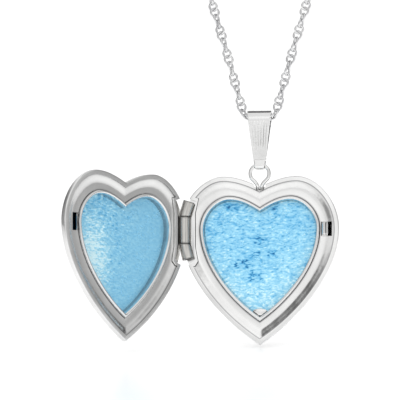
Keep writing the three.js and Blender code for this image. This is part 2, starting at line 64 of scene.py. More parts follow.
# The dish falls over this part of the flange's width, and then rises again by this part of its depth.
DISH_PART, DISH_RISE, FLANGE_STEPS = 0.66, 0.12, 22
BEAD_CREST_Y, BEAD_MIDDLE_Y, BEAD_FOOT_Y, BEVEL_BOTTOM_Y = 0.08, 0.3, 0.62, 1.0
BEAD_MIDDLE, BEAD_HALF, BEAD_STEPS = 0.39, 0.37, 12
FOIL_Y, FOIL_SHEET, FOIL_MARGIN = 1.04, 0.14, 0.3
FOIL_GRID, FOIL_RELIEF, FOIL_LIFT = 0.085, 0.055, 0.02
TAB_HALF_WIDTH, TAB_BASE, TAB_RISE, TAB_Y, TAB_SHEET = 0.85, 0.55, 0.3, 0.55, 0.23

HINGE_CUT_X = HINGE_X + 0.05
KNUCKLE_R, KNUCKLE_BORE, END_BORE, PIN_R, KNUCKLE_GAP = 0.69, 0.3, 0.38, 0.22, 0.05
MIDDLE_TOP_Z, MIDDLE_BOTTOM_Z = -11.66, -14.88
UPPER_TILT, LOWER_TILT, OUTER_KNUCKLE = 17.5, 14, 1.86
POCKET_DEPTH, POCKET_WALL = 0.8, 0.28
OUTSIDE_X = -10.5
POCKET = [(OUTSIDE_X, -9.3), (-8.62, -9.42), (-7.6, -9.75), (-8.0, -11.5), (-8.0, -14.95),
          (-7.66, -16.7), (-8.0, -17.25), (-8.6, -17.45), (OUTSIDE_X, -17.3)]

CATCH_TOP_Z, CATCH_BOTTOM_Z = -12.33, -14.05
TONGUE_ROOT_X, TONGUE_EDGE_X, CATCH_HOLE_END_X = 7.32, 8.14, 8.64
SLOT_START_X, SLOT_END_X, SLOT_SPARE_Z = 7.2, 8.0, 0.2

LOOP_WIRE_R, LOOP_R, LOOP_TOP_Z = 0.22, 1.12, -5.42
LOOP_HOLE_X, LOOP_HOLE_Z, LOOP_HOLE_CENTRE_Z = 0.72, 0.58, -7.98
EYE_R, BAIL_SHEET = 0.84, 0.22
BAIL_TOP_WIDTH, BAIL_WAIST_WIDTH, BAIL_WAIST_Z = 2.87, 1.47, -5.3
BAIL_FOLD_R = 0.36
# The fold's room for the wire is 0.07 wider than the CAD's.
FOLD_ROOM = 0.43
FLUTES, FLUTE_DEPTH, FLUTED_PART = 5, 0.035, 0.72
FLUTE_TOP_Z, FLUTE_FADE_IN, FLUTE_BOTTOM_Z, FLUTE_FADE_OUT = 0.15, 0.8, -4.3, 1.5
STRAP_POINTS, STRAP_ROWS = 110, 61

JUMP_R, JUMP_WIRE, CLASP_EYE_R, CLASP_EYE_WIRE = 0.6, 0.16, 0.62, 0.2
CLASP_R, CLASP_TUBE, CLASP_BORE, BOLT_WIRE = 2.2, 0.5, 0.33, 0.25
GAP_START, GAP_END, BOLT_TIP, BOLT_TAIL, TRIGGER_ANGLE, BOLT_TRAVEL = 20, 70, 12, 150, 128, 60

# The chain's route from its left end, down through the bail's eye and up to its right end.
CHAIN_EYE_Z = 0.15
CHAIN_RISE = [(0.7, 0, 0.15), (1.4, 0, 0.22), (1.84, 0, 0.51), (2.04, 0, 1.05), (2.34, 0, 2.2),
              (2.9, 0, 4.2), (3.85, 0, 7.7), (5, 0, 11.6), (6.38, 0, 16.4)]
CHAIN_POINTS = [(-x, y, z) for x, y, z in reversed(CHAIN_RISE)] + [(0, 0, CHAIN_EYE_Z)] + CHAIN_RISE
LINK_R, LINK_WIRE, LINK_PITCH = 0.49, 0.135, 0.745
LINK_TWIST, FIRST_TWIST = math.radians(45), math.radians(20)
LINK_PAST_END, LINK_SQUASH = 0.04, 0.98
ROUTE_POINTS = 400

# ---------- camera ----------

VIEW_AZIMUTH, VIEW_ELEVATION = math.radians(5.39), math.radians(-5.745)
VIEW_DISTANCE = 1.04
VIEW_WIDTH = 0.04772
VIEW_CENTRE = Vector((-7.126, PARTING_Y, -9.64)) * MM

view_back = Vector((
    math.sin(VIEW_AZIMUTH) * math.cos(VIEW_ELEVATION),
    -math.cos(VIEW_AZIMUTH) * math.cos(VIEW_ELEVATION),
    math.sin(VIEW_ELEVATION),
))
camera_data = bpy.data.cameras.new("camera")
camera_data.sensor_width = 36
camera_data.lens = camera_data.sensor_width * VIEW_DISTANCE / VIEW_WIDTH
camera_data.clip_start, camera_data.clip_end = 0.05, 20
camera = bpy.data.objects.new("camera", camera_data)
camera.location = VIEW_CENTRE + view_back * VIEW_DISTANCE
camera.rotation_euler = (-view_back).to_track_quat("-Z", "Y").to_euler()
bpy.context.collection.objects.link(camera)
bpy.context.scene.camera = camera
bpy.context.scene.view_settings.view_transform = "Standard"


# ---------- node materials ----------

# A noise's values lie mostly between these two.
NOISE_LOW, NOISE_HIGH = 0.3, 0.7


def new_material(name, **sockets):
    material = bpy.data.materials.new(name)
    material.use_nodes = True
    shader = material.node_tree.nodes["Principled BSDF"]
    for socket, value in sockets.items():
        shader.inputs[socket.replace("_", " ")].default_value = value
    return material, material.node_tree, shader


def add_node(tree, kind, **settings):
    """A node with some of its sockets, or else its properties, set by name; _ stands for a socket's space."""
    node = tree.nodes.new(kind)
    for name, value in settings.items():
        socket = name.replace("_", " ")
        if socket in node.inputs:
            node.inputs[socket].default_value = value
        else:
            setattr(node, name, value)
    return node


def noise_node(tree, scale, detail=2.0, roughness=0.5, stretch=(1, 1, 1)):
    """A noise fixed to the object; scale is in waves a metre."""
    place = add_node(tree, "ShaderNodeTexCoord")
    mapping = add_node(tree, "ShaderNodeMapping", Scale=stretch)
    texture = add_node(tree, "ShaderNodeTexNoise", Scale=scale, Detail=detail, Roughness=roughness)
    tree.links.new(place.outputs["Object"], mapping.inputs["Vector"])
    tree.links.new(mapping.outputs["Vector"], texture.inputs["Vector"])
    return texture.outputs["Fac"]


def spread_to(tree, value, low, high):
    """A noise's usual range stretched over low to high."""
    noise_span = dict(From_Min=NOISE_LOW, From_Max=NOISE_HIGH)
    span = add_node(tree, "ShaderNodeMapRange", To_Min=low, To_Max=high, **noise_span)
    tree.links.new(value, span.inputs["Value"])
    return span.outputs["Result"]


def bump_from(tree, shader, value, strength, distance):
    bump = add_node(tree, "ShaderNodeBump", Strength=strength, Distance=distance)
    tree.links.new(value, bump.inputs["Height"])
    tree.links.new(bump.outputs["Normal"], shader.inputs["Normal"])


def tint(tree, shader, value, dark, light):
    ramp = add_node(tree, "ShaderNodeValToRGB")
    low, high = ramp.color_ramp.elements
    low.position = NOISE_LOW
    low.color = (*dark, 1)
    high.position = NOISE_HIGH
    high.color = (*light, 1)
    tree.links.new(value, ramp.inputs["Fac"])
    tree.links.new(ramp.outputs["Color"], shader.inputs["Base Color"])


def paint_crevice_shade(tree, shader, shade_colour):
    """Painted shade: the narrow places marked on the mesh are darker, as shade falls in them."""
    mark = add_node(tree, "ShaderNodeAttribute", attribute_name="crevice")
    polished = shader.inputs["Base Color"].links[0].from_socket
    blend = add_node(tree, "ShaderNodeMix", data_type="RGBA")
    unshaded, shaded = (socket for socket in blend.inputs if socket.type == "RGBA")
    result = next(socket for socket in blend.outputs if socket.type == "RGBA")
    # The colour of the painted shade in the crevices.
    shaded.default_value = (*shade_colour, 1)
    tree.links.new(mark.outputs["Fac"], blend.inputs[0])
    tree.links.new(polished, unshaded)
    tree.links.new(result, shader.inputs["Base Color"])


def polished_silver():
    material, tree, shader = new_material("polished_silver", Metallic=1.0)
    tint(tree, shader, noise_node(tree, 220, 3), (0.69, 0.69, 0.685), (0.77, 0.77, 0.765))
    # Painted shade: the colour the silver's marked crevices are darkened to.
    paint_crevice_shade(tree, shader, (0.13, 0.13, 0.14))
    scratches = noise_node(tree, 900, 3, 0.6, (1, 1, 0.35))
    tree.links.new(spread_to(tree, scratches, 0.1, 0.19), shader.inputs["Roughness"])
    bump_from(tree, shader, noise_node(tree, 330, 3, 0.55), 0.3, 0.00012)
    return material


def hinge_silver():
    material, tree, shader = new_material("hinge_silver", Metallic=1.0)
    lines = noise_node(tree, 2600, 3, 0.6, (1, 1, 0.05))
    # The brushed lines' tone varies as grain; the base colour, darker overall than the polished silver's, is
    # painted shade.
    tint(tree, shader, lines, (0.44, 0.43, 0.41), (0.7, 0.69, 0.66))
    # Painted shade in the hinge's gaps and at its tubes' ends.
    paint_crevice_shade(tree, shader, (0.05, 0.05, 0.05))
    tree.links.new(spread_to(tree, lines, 0.22, 0.4), shader.inputs["Roughness"])
    bump_from(tree, shader, lines, 0.4, 0.00003)
    return material


def chain_silver():
    material, tree, shader = new_material("chain_silver", Metallic=1.0)
    # The chain's base colour, darker than the polished silver's, is painted shade, with random tone over it.
    tint(tree, shader, noise_node(tree, 500, 2), (0.54, 0.54, 0.55), (0.73, 0.73, 0.73))
    # Painted shade colour for marked crevices.
    paint_crevice_shade(tree, shader, (0.16, 0.16, 0.17))
    tree.links.new(spread_to(tree, noise_node(tree, 1500, 2), 0.12, 0.26), shader.inputs["Roughness"])
    bump_from(tree, shader, noise_node(tree, 1200, 2), 0.15, 0.00002)
    return material


def blue_foil():
    """The foil's blue, light with painted highlights where the foil stands up, deep blue with painted shade
    down in its creases.
    """
    material, tree, shader = new_material("blue_foil", Metallic=0.4)
    # The fold height picks the colour: painted shade where low, painted highlight where high.
    depth = add_node(tree, "ShaderNodeAttribute", attribute_name="fold")
    ramp = add_node(tree, "ShaderNodeValToRGB")
    deepest, highest = ramp.color_ramp.elements
    deepest.color = (0.01, 0.13, 0.32, 1)
    highest.color = (0.62, 0.87, 0.94, 1)
    between = {0.28: (0.07, 0.36, 0.64), 0.5: (0.21, 0.53, 0.77), 0.75: (0.32, 0.66, 0.85)}
    for position, colour in between.items():
        ramp.color_ramp.elements.new(position).color = (*colour, 1)
    tree.links.new(depth.outputs["Fac"], ramp.inputs["Fac"])
    tree.links.new(ramp.outputs["Color"], shader.inputs["Base Color"])
    tree.links.new(spread_to(tree, noise_node(tree, 900, 3), 0.16, 0.3), shader.inputs["Roughness"])
    bump_from(tree, shader, noise_node(tree, 4200, 3, 0.6, (0.6, 1, 1.5)), 0.4, 0.00005)
    return material


MATERIALS = {
    "polished_silver": polished_silver(),
    "hinge_silver": hinge_silver(),
    "chain_silver": chain_silver(),
    "blue_foil": blue_foil(),
}


# ---------- mesh building ----------

def build_mesh(name, points, faces):
    """An object from points in millimetres, cleaned, with its faces turned outwards."""
    mesh = bpy.data.meshes.new(name)
    mesh.from_pydata([Vector(p) * MM for p in points], [], faces)
    work = bmesh.new()
    work.from_mesh(mesh)
    bmesh.ops.remove_doubles(work, verts=work.verts, dist=1e-7)
    bmesh.ops.dissolve_degenerate(work, edges=work.edges, dist=1e-8)
    bmesh.ops.recalc_face_normals(work, faces=work.faces)
    work.to_mesh(mesh)
    work.free()
    piece = bpy.data.objects.new(name, mesh)
    bpy.context.collection.objects.link(piece)
    return piece


def loft(rings, tube=False, caps=True):
    """Points and faces through rings with equal numbers of points; a tube's last ring meets its first."""
    count = len(rings[0])
    points = [tuple(p) for ring in rings for p in ring]
    faces = []
    spans = len(rings) if tube else len(rings) - 1
    for r in range(spans):
        here, after = r * count, ((r + 1) % len(rings)) * count
        for i in range(count):
            j = (i + 1) % count
            faces.append((here + i, here + j, after + j, after + i))
    if caps and not tube:
        last = (len(rings) - 1) * count
        faces.append(tuple(range(count)))
        faces.append(tuple(last + i for i in range(count)))
    return points, faces


def prism(outline, y0, y1):
    """An outline in x and z, carried from y0 to y1."""
    return loft([[(x, y0, z) for x, z in outline], [(x, y1, z) for x, z in outline]])


def block(x0, x1, y0, y1, z0, z1):
    return prism([(x0, z0), (x1, z0), (x1, z1), (x0, z1)], y0, y1)


def boolean(piece, tool_shape, operation="DIFFERENCE"):
    """Cuts a shape or another object out of a piece, or joins it on; the tool is used up."""
    tool = build_mesh("tool", *tool_shape) if isinstance(tool_shape, tuple) else tool_shape
    modifier = piece.modifiers.new("cut", "BOOLEAN")
    modifier.operation = operation
    modifier.solver = "EXACT"
    modifier.object = tool
    apply_modifiers(piece)
    bpy.data.objects.remove(tool)


def apply_modifiers(piece):
    graph = bpy.context.evaluated_depsgraph_get()
    graph.update()
    made = bpy.data.meshes.new_from_object(piece.evaluated_get(graph))
    piece.modifiers.clear()
    piece.data = made


def finish_piece(piece, body, slot, *nodes, angle=35, is_cover=False):
    """Shading, material, body and the CAD nodes that the piece stands for."""
    if is_cover:
        to_cover(piece.data)
    piece.data.materials.clear()
    piece.data.materials.append(MATERIALS[slot])
    for polygon in piece.data.polygons:
        polygon.use_smooth = True
    piece.data.set_sharp_from_angle(angle=math.radians(angle))
    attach(piece, body)
    if nodes:
        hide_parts(*nodes)
    return piece


def to_cover(mesh):
    """Mirrors a piece drawn for the back half through the parting plane, and opens it on the hinge."""
    turn_cos, turn_sin = math.cos(OPEN_ANGLE), math.sin(OPEN_ANGLE)
    for vertex in mesh.vertices:
        x, y = vertex.co.x / MM - HINGE_X, -vertex.co.y / MM
        vertex.co.x = (HINGE_X + x * turn_cos + y * turn_sin) * MM
        vertex.co.y = (-x * turn_sin + y * turn_cos) * MM
    mesh.flip_normals()


def to_parting(mesh):
    """Moves a piece from the parting plane at y = 0 to where the plane really is."""
    for vertex in mesh.vertices:
        vertex.co.y += PARTING_Y * MM


# ---------- heart outlines ----------

def inset(outline, distance):
    """The heart that lies inside another by a distance; the notch and the tip move more than the sides."""
    return dict(
        half_width=outline["half_width"] - distance,
        lobe_x=outline["lobe_x"],
        lobe_z=outline["lobe_z"] - distance,
        notch_z=outline["notch_z"] - 1.05 * distance,
        wide_z=outline["wide_z"],
        tip_z=outline["tip_z"] + 1.25 * distance,
    )


def bezier(corners, steps):
    """Points on a cubic curve, without its last one."""
    t = np.linspace(0, 1, steps, endpoint=False)[:, None]
    a, b, c, d = (np.array(p, float) for p in corners)
    return (1 - t) ** 3 * a + 3 * (1 - t) ** 2 * t * b + 3 * (1 - t) * t ** 2 * c + t ** 3 * d


def heart(outline):
    """Points round a heart from its notch by the right side: three curves, mirrored."""
    w, lx, lz = outline["half_width"], outline["lobe_x"], outline["lobe_z"]
    nz, wz, tz = outline["notch_z"], outline["wide_z"], outline["tip_z"]
    fall = wz - tz
    notch = [(0, nz), (0.27 * lx, nz + 0.46 * (lz - nz)), (0.62 * lx, lz), (lx, lz)]
    lobe = [(lx, lz), (lx + 0.47 * (w - lx), lz), (w, wz + 0.55 * (lz - wz)), (w, wz)]
    side = [(w, wz), (w, wz - 0.363 * fall), (0.532 * w, tz + 0.237 * fall), (0, tz)]
    right = np.concatenate([
        bezier(notch, NOTCH_STEPS), bezier(lobe, LOBE_STEPS), bezier(side, SIDE_STEPS), [(0, tz)],
    ])
    left = right[1:-1][::-1] * (-1, 1)
    return np.concatenate([right, left])


def at_depth(flat, y):
    """Points in x and z, put at one depth."""
    return np.column_stack([flat[:, 0], np.full(len(flat), y), flat[:, 1]])


def ring_at(outline, y):
    return at_depth(heart(outline), y)


def ring_between(outer, inner, part, y):
    """A ring from one heart, at part 0, to another, at part 1."""
    return at_depth(heart(outer) * (1 - part) + heart(inner) * part, y)


def dome_ring(outline, part, wall, rise):
    """One ring of the dome, from the wall's top at part 0 to the centre line at part 1."""
    x, z = heart(outline).T
    spine_part = (z - outline["tip_z"]) / (outline["lobe_z"] - outline["tip_z"])
    spine_z = SPINE_BOTTOM_Z + (SPINE_TOP_Z - SPINE_BOTTOM_Z) * spine_part
    y = wall + rise * math.sqrt(1 - (1 - part) ** 2)
    return at_depth(np.column_stack([x * (1 - part), z * (1 - part) + spine_z * part]), y)


def dome(outline, wall, rise):
    parts = [1 - math.cos(math.pi / 2 * i / DOME_STEPS) for i in range(1, DOME_STEPS + 1)]
    return [dome_ring(outline, part, wall, rise) for part in parts]


def cushion(outline, y0, wall, rise, edge):
    """A solid half heart: a front at y0 with a rounded edge, a straight side and the dome."""
    rings = []
    steps = LIP_STEPS if edge > 0 else 0
    for i in range(steps):
        turn = math.pi / 2 * i / steps
        rings.append(ring_at(inset(outline, edge * (1 - math.sin(turn))), y0 + edge * (1 - math.cos(turn))))
    rings += [ring_at(outline, y0 + edge), ring_at(outline, (y0 + wall) / 2), ring_at(outline, wall)]
    rings += dome(outline, wall, rise)
    points, faces = loft(rings, caps=False)
    faces.append(tuple(range(len(rings[0]))))
    return points, faces


def grown_pocket(distance):
    """The hinge pocket's outline, larger by a distance; its open end stays outside the heart."""
    middle_z = (MIDDLE_TOP_Z + MIDDLE_BOTTOM_Z) / 2
    grown = []
    for x, z in POCKET:
        grown_x = x if x == OUTSIDE_X else x + distance
        grown.append((grown_x, z + math.copysign(distance, z - middle_z)))
    return grown


def loop_hole(extra):
    """The half-round hole at the notch, open at the top, that the loop's legs go through."""
    points = []
    steps = 32
    for i in range(steps + 1):
        angle = math.pi + i / steps * math.pi
        points.append((
            (LOOP_HOLE_X + extra) * math.cos(angle),
            LOOP_HOLE_CENTRE_Z + (LOOP_HOLE_Z + extra) * math.sin(angle),
        ))
    points += [(LOOP_HOLE_X + extra, -6), (-LOOP_HOLE_X - extra, -6)]
    return prism(points, -1, 1.05)


def shell(name):
    """The domed sheet with its overhanging lip, the hinge pocket and the flattened side behind the hinge."""
    # The far sides of all cutting blocks and prisms are past the piece, so they only have to be large enough.
    piece = build_mesh(name, *cushion(HEART, LIP_GAP, SIDE_WALL, DOME_RISE, LIP_ROUND))
    inside = cushion(inset(HEART, SHEET), LIP_GAP + LIP_DEPTH, SIDE_WALL, DOME_RISE - SHEET, 0)
    hollow = build_mesh("hollow", *inside)
    lip = inset(HEART, LIP_WIDTH)
    boolean(hollow, loft([ring_at(lip, -1), ring_at(lip, 0.4)]), "UNION")
    boolean(hollow, prism(grown_pocket(POCKET_WALL), -2, POCKET_DEPTH + POCKET_WALL))
    boolean(hollow, block(-11, HINGE_CUT_X + POCKET_WALL, -2, 3, -17, -9.8))
    boolean(piece, hollow)
    boolean(piece, prism(POCKET, -1, POCKET_DEPTH))
    boolean(piece, block(-11, HINGE_CUT_X, -1, 4, -20, -7))
    return piece


def flange(name, opening):
    """The dished plate between the lip and the bead, with one opening for the catch."""
    outer, inner = inset(HEART, FLANGE_INSET), inset(BEAD, -FIT_GAP)
    front, back = [], []
    for i in range(FLANGE_STEPS + 1):
        part = i / FLANGE_STEPS
        fall = 0.5 - 0.5 * math.cos(math.pi * min(1, part / DISH_PART))
        dip = FLANGE_DISH * (fall - DISH_RISE * max(0, (part - DISH_PART) / (1 - DISH_PART)) ** 2)
        front.append(ring_between(outer, inner, part, FLANGE_TOP_Y + dip))
        back.append(ring_between(outer, inner, part, FLANGE_TOP_Y + FLANGE_SHEET + dip))
    piece = build_mesh(name, *loft(front + back[::-1], tube=True))
    boolean(piece, prism(grown_pocket(POCKET_WALL + FIT_GAP), -1, 2))
    boolean(piece, block(-11, HINGE_CUT_X + POCKET_WALL + FIT_GAP, -1, 2, -17.2, -9.6))
    boolean(piece, opening)
    return piece


def picture_frame(name):
    """The rolled bead, then the bevel that runs down to the foil."""
    profile = [(0, BEAD_FOOT_Y), (0, BEAD_MIDDLE_Y)]
    for i in range(BEAD_STEPS + 1):
        turn = math.pi * i / BEAD_STEPS
        part = BEAD_MIDDLE - BEAD_HALF * math.cos(turn)
        profile.append((part, BEAD_MIDDLE_Y - (BEAD_MIDDLE_Y - BEAD_CREST_Y) * math.sin(turn)))
    profile += [(0.8, 0.4), (0.88, BEAD_FOOT_Y), (0.96, 0.86), (1, BEVEL_BOTTOM_Y)]
    profile += [(0.8, BEVEL_BOTTOM_Y), (0.6, BEAD_FOOT_Y)]
    rings = [ring_between(BEAD, WINDOW, part, y) for part, y in profile]
    return build_mesh(name, *loft(rings, tube=True))


# Where each foil is creased hardest and painted darkest, as painted shade and dark reflection: x, z and
# radius.
DENTS = {
    "back": [(-0.1, -14.5, 0.75), (-0.7, -16.0, 0.55), (1.3, -16.1, 0.7), (-1.6, -17.1, 0.85),
             (-2.9, -17.3, 0.6), (-0.9, -18.7, 0.95), (-3.5, -10.4, 0.7), (1.7, -10.6, 0.5)],
    "cover": [],
}
# Where each foil's noise starts, so that the two differ.
FOIL_SEED = {"back": 0.0, "cover": 31.0}


def fold_height(side, x, z):
    """How far the foil stands up at a point, 0 to 1: wrinkles that run mostly across.

    The back foil is creased all over, and deepest in its dents. The cover's is calm near the hinge, and its
    creases stand up, with a painted highlight at the lower outer edge. The height also sets the foil's
    colour:
    painted shade in the creases, painted highlights where the foil stands up.
    """
    is_back = side == "back"
    seed = FOIL_SEED[side]
    lean_x = x if is_back else x + 0.5 * z
    drift = noise.noise((x * 0.5 + seed, z * 0.5, 1.0))
    long_crease = crease(noise.noise((lean_x * 0.5 + seed, z * 1.9 + drift, 5.0)), 0.2)
    short_crease = crease(noise.noise((lean_x * 1.1 + seed, z * 3.4 + drift, 9.0)), 0.26)
    fine = noise.noise((x * 2.2 + seed, z * 5.0, 2.0))
    finest = noise.noise((x * 4.6 + seed, z * 8.0, 7.0))
    if is_back:
        value = 0.74 - 0.29 * long_crease - 0.24 * short_crease + 0.28 * fine + 0.28 * finest
    else:
        creased = 0.2 + 0.8 * min(1, max(0, (x + 3.0 + 0.25 * (z + 14)) / 6))
        value = 0.58 + creased * (0.3 * long_crease - 0.2 * short_crease)
        value += (0.1 + 0.2 * creased) * (fine + finest)
    for dent_x, dent_z, radius in DENTS[side]:
        near = max(0, 1 - math.hypot((x - dent_x) / 1.7, z - dent_z) / radius)
        # In the dents the foil lies deeper and darker: relief, plus painted shade and dark reflection.
        value -= 0.9 * near ** 0.6 * max(0, 0.1 + 1.7 * fine + 1.1 * finest + 0.35 * short_crease)
    if is_back:
        value += 0.16 * min(1, max(0, (-z - 15) / 6))
    else:
        # A painted highlight over the cover's lower outer part, which also lifts the foil there.
        value += 0.5 * max(0, 1 - math.hypot(x - 4.4, (z + 17.6) * 0.5) / 3.4)
    return min(1.0, max(0.0, value))


def crease(value, width):
    """1 along the lines where a noise passes through zero, fading out on both sides."""
    return max(0.0, 1 - abs(value) / width) ** 1.5


def inside_heart(flat, x, z):
    """Which of the points lie inside an outline, by counting the sides that a level line crosses."""
    inside = np.zeros(x.shape, bool)
    for (x0, z0), (x1, z1) in zip(flat, np.roll(flat, -1, axis=0)):
        if z0 == z1:
            continue
        crosses = ((z0 > z) != (z1 > z)) & (x < (x1 - x0) * (z - z0) / (z1 - z0) + x0)
        inside ^= crosses
    return inside


def foil(name, side):
    """A crinkled sheet on a fine square grid. Its stepped edge is out of sight under the picture frame."""
    outline = inset(WINDOW, -FOIL_MARGIN)
    flat = heart(outline)
    across = np.arange(-outline["half_width"], outline["half_width"], FOIL_GRID)
    upward = np.arange(outline["tip_z"], outline["lobe_z"], FOIL_GRID)
    cell_x, cell_z = np.meshgrid(across[:-1] + FOIL_GRID / 2, upward[:-1] + FOIL_GRID / 2, indexing="ij")
    filled = inside_heart(flat, cell_x, cell_z)
    # Where two cells touch only at a corner, a neighbour is filled in.
    for _ in range(3):
        diagonal = filled[1:, 1:] & filled[:-1, :-1] & ~filled[1:, :-1] & ~filled[:-1, 1:]
        other = filled[1:, :-1] & filled[:-1, 1:] & ~filled[1:, 1:] & ~filled[:-1, :-1]
        filled[1:, :-1] |= diagonal
        filled[1:, 1:] |= other
    index = {}
    points, folds = [], []

    def corner(i, j, is_front):
        key = (i, j, is_front)
        if key not in index:
            index[key] = len(points)
            x, z = float(across[i]), float(upward[j])
            height = fold_height(side, x, z) if is_front else 0.0
            front_y = FOIL_Y - FOIL_LIFT + FOIL_RELIEF * (0.5 - height)
            points.append((x, front_y if is_front else FOIL_Y + FOIL_SHEET, z))
            folds.append(height)
        return index[key]

    faces = []
    cell_corners = ((0, 0), (1, 0), (1, 1), (0, 1))
    neighbours = ((0, -1), (1, 0), (0, 1), (-1, 0))
    for i, j in zip(*np.nonzero(filled)):
        front = [corner(i + a, j + b, True) for a, b in cell_corners]
        back = [corner(i + a, j + b, False) for a, b in cell_corners]
        faces += [tuple(front), tuple(reversed(back))]
        for p, (a, b) in enumerate(neighbours):
            ni, nj = i + a, j + b
            is_filled = 0 <= ni < filled.shape[0] and 0 <= nj < filled.shape[1] and filled[ni, nj]
            if not is_filled:
                q = (p + 1) % 4
                faces.append((front[q], front[p], back[p], back[q]))
    mesh = bpy.data.meshes.new(name)
    mesh.from_pydata([Vector(p) * MM for p in points], [], faces)
    mesh.attributes.new("fold", "FLOAT", "POINT").data.foreach_set("value", folds)
    piece = bpy.data.objects.new(name, mesh)
    bpy.context.collection.objects.link(piece)
    work = bmesh.new()
    work.from_mesh(mesh)
    bmesh.ops.recalc_face_normals(work, faces=work.faces)
    work.to_mesh(mesh)
    work.free()
    return piece


def thumb_tab(name):
    """A small half-round tab, slightly domed, that frees the frame."""
    tip_z = WINDOW["tip_z"]
    base_z = tip_z + TAB_BASE
    steps = 32
    edge = []
    for i in range(steps + 1):
        angle = math.pi * i / steps
        edge.append((TAB_HALF_WIDTH * math.cos(angle), base_z + TAB_RISE * math.sin(angle)))
    edge += [(-0.42, tip_z + 0.24), (-0.2, tip_z + 0.02), (0.2, tip_z + 0.02), (0.42, tip_z + 0.24)]
    swell = [(1, TAB_SHEET), (1, 0.07), (0.95, 0.02), (0.86, 0), (0.5, -0.02), (0.2, -0.025)]
    rings = []
    for scale, depth in swell:
        rings.append([(x * scale, TAB_Y + depth, base_z + (z - base_z) * scale) for x, z in edge])
    return build_mesh(name, *loft(rings))


def catch_tongue(name):
    """The raised louver that snaps into the cover's slot, flattening toward both ends."""
    top = [(0, 0.2), (0.06, 0.05), (0.13, -0.1), (0.2, -0.22), (0.28, -0.31), (0.36, -0.37), (0.44, -0.37),
           (0.52, -0.32), (0.6, -0.2), (0.68, -0.08), (0.75, -0.02), (0.82, 0.0)]
    under = [(0.82, 0.12), (0.6, 0.18), (0.42, 0.3), (0, 0.33)]
    profile = [(TONGUE_ROOT_X + x, y) for x, y in top + under]
    base_y, end_height, sections = 0.3, 0.25, 16
    rings = []
    for i in range(sections + 1):
        along = i / sections
        z = CATCH_BOTTOM_Z + along * (CATCH_TOP_Z - CATCH_BOTTOM_Z)
        height = end_height + (1 - end_height) * min(1, 9 * along * (1 - along)) ** 0.5
        rings.append([(x, base_y + (y - base_y) * height, z) for x, y in profile])
    return build_mesh(name, *loft(rings))


# ---------- round bars and tubes ----------

X_WAY, Y_WAY, Z_WAY = np.eye(3)


def unit(vectors):
    """One vector, or a row of them, at length 1."""
    return vectors / np.linalg.norm(vectors, axis=-1, keepdims=True)


def line_length(line):
    return float(np.linalg.norm(np.diff(line, axis=0), axis=1).sum())


def catmull(points, count):
    """Evenly spaced points on a smooth curve through the given ones."""
    p = np.array(points, float)
    p = np.vstack([2 * p[0] - p[1], p, 2 * p[-1] - p[-2]])
    fine = []
    for before, here, after, beyond in zip(p, p[1:], p[2:], p[3:]):
        for t in np.linspace(0, 1, 24, endpoint=False):
            fine.append(0.5 * (
                2 * here + (after - before) * t
                + (2 * before - 5 * here + 4 * after - beyond) * t ** 2
                + (3 * here - before - 3 * after + beyond) * t ** 3
            ))
    fine.append(p[-2])
    return even(np.array(fine), count)


def even(line, count):
    """A line's points moved along it to equal distances."""
    reach = np.concatenate([[0], np.cumsum(np.linalg.norm(np.diff(line, axis=0), axis=1))])
    at = np.linspace(0, reach[-1], count)
    return np.column_stack([np.interp(at, reach, line[:, k]) for k in range(3)])


def bar(line, radii, sides):
    """Rings of a round bar along a line; radii is one number or one for each point."""
    line = np.array(line, float)
    radii = np.broadcast_to(radii, len(line))
    ahead = unit(np.gradient(line, axis=0))
    rings = []
    side = np.cross(ahead[0], Y_WAY)
    for point, tangent, radius in zip(line, ahead, radii):
        side = unit(side - tangent * (side @ tangent))
        up = np.cross(tangent, side)
        turn = np.linspace(0, 2 * math.pi, sides, endpoint=False)[:, None]
        rings.append(point + radius * (np.cos(turn) * side + np.sin(turn) * up))
    return rings


def round_ends(line, radius, sides, bevel):
    """A bar whose two ends are rounded off by bevel."""
    line = np.array(line, float)
    if len(line) < 4:
        # A straight bar has rings all along it, because the painted crevice shade marks are on its points.
        line = even(line, 26)
    start, end = unit(line[1] - line[0]), unit(line[-1] - line[-2])
    head = [line[0] + start * bevel * (1 - math.cos(a)) for a in (0, math.pi / 4)]
    tail = [line[-1] - end * bevel * (1 - math.cos(a)) for a in (math.pi / 4, 0)]
    points = head + [line[0] + start * bevel] + list(line[1:-1]) + [line[-1] - end * bevel] + tail
    shrink = [radius - bevel, radius - bevel * (1 - math.sin(math.pi / 4))]
    radii = shrink + [radius] * (len(points) - 4) + shrink[::-1]
    return bar(points, radii, sides)


def torus(centre, radius, wire, across, along, turns=48, sides=16, squash=1.0):
    """A closed ring of round wire in the plane of two unit vectors."""
    centre, across, along = (np.array(v, float) for v in (centre, across, along))
    out = np.cross(across, along)
    rings = []
    for i in range(turns):
        angle = 2 * math.pi * i / turns
        ray = across * math.cos(angle) * squash + along * math.sin(angle)
        turn = np.linspace(0, 2 * math.pi, sides, endpoint=False)[:, None]
        rings.append(centre + ray * (radius + wire * np.cos(turn)) + out * wire * np.sin(turn))
    return loft(rings, tube=True)


def merged(shapes):
    """Several shapes as one list of points and faces."""
    points, faces = [], []
    for more_points, more_faces in shapes:
        base = len(points)
        points += list(more_points)
        faces += [tuple(base + i for i in face) for face in more_faces]
    return points, faces


# ---------- the two halves ----------

catch_hole = block(TONGUE_EDGE_X + 0.02, CATCH_HOLE_END_X, -1, 2, CATCH_BOTTOM_Z, CATCH_TOP_Z)
slot_bottom_z, slot_top_z = CATCH_BOTTOM_Z - SLOT_SPARE_Z, CATCH_TOP_Z + SLOT_SPARE_Z
catch_slot = block(SLOT_START_X, SLOT_END_X, -1, 2, slot_bottom_z, slot_top_z)


def lean(degrees):
    """The direction that leans to the right of straight up."""
    return np.array([math.sin(math.radians(degrees)), 0, math.cos(math.radians(degrees))])


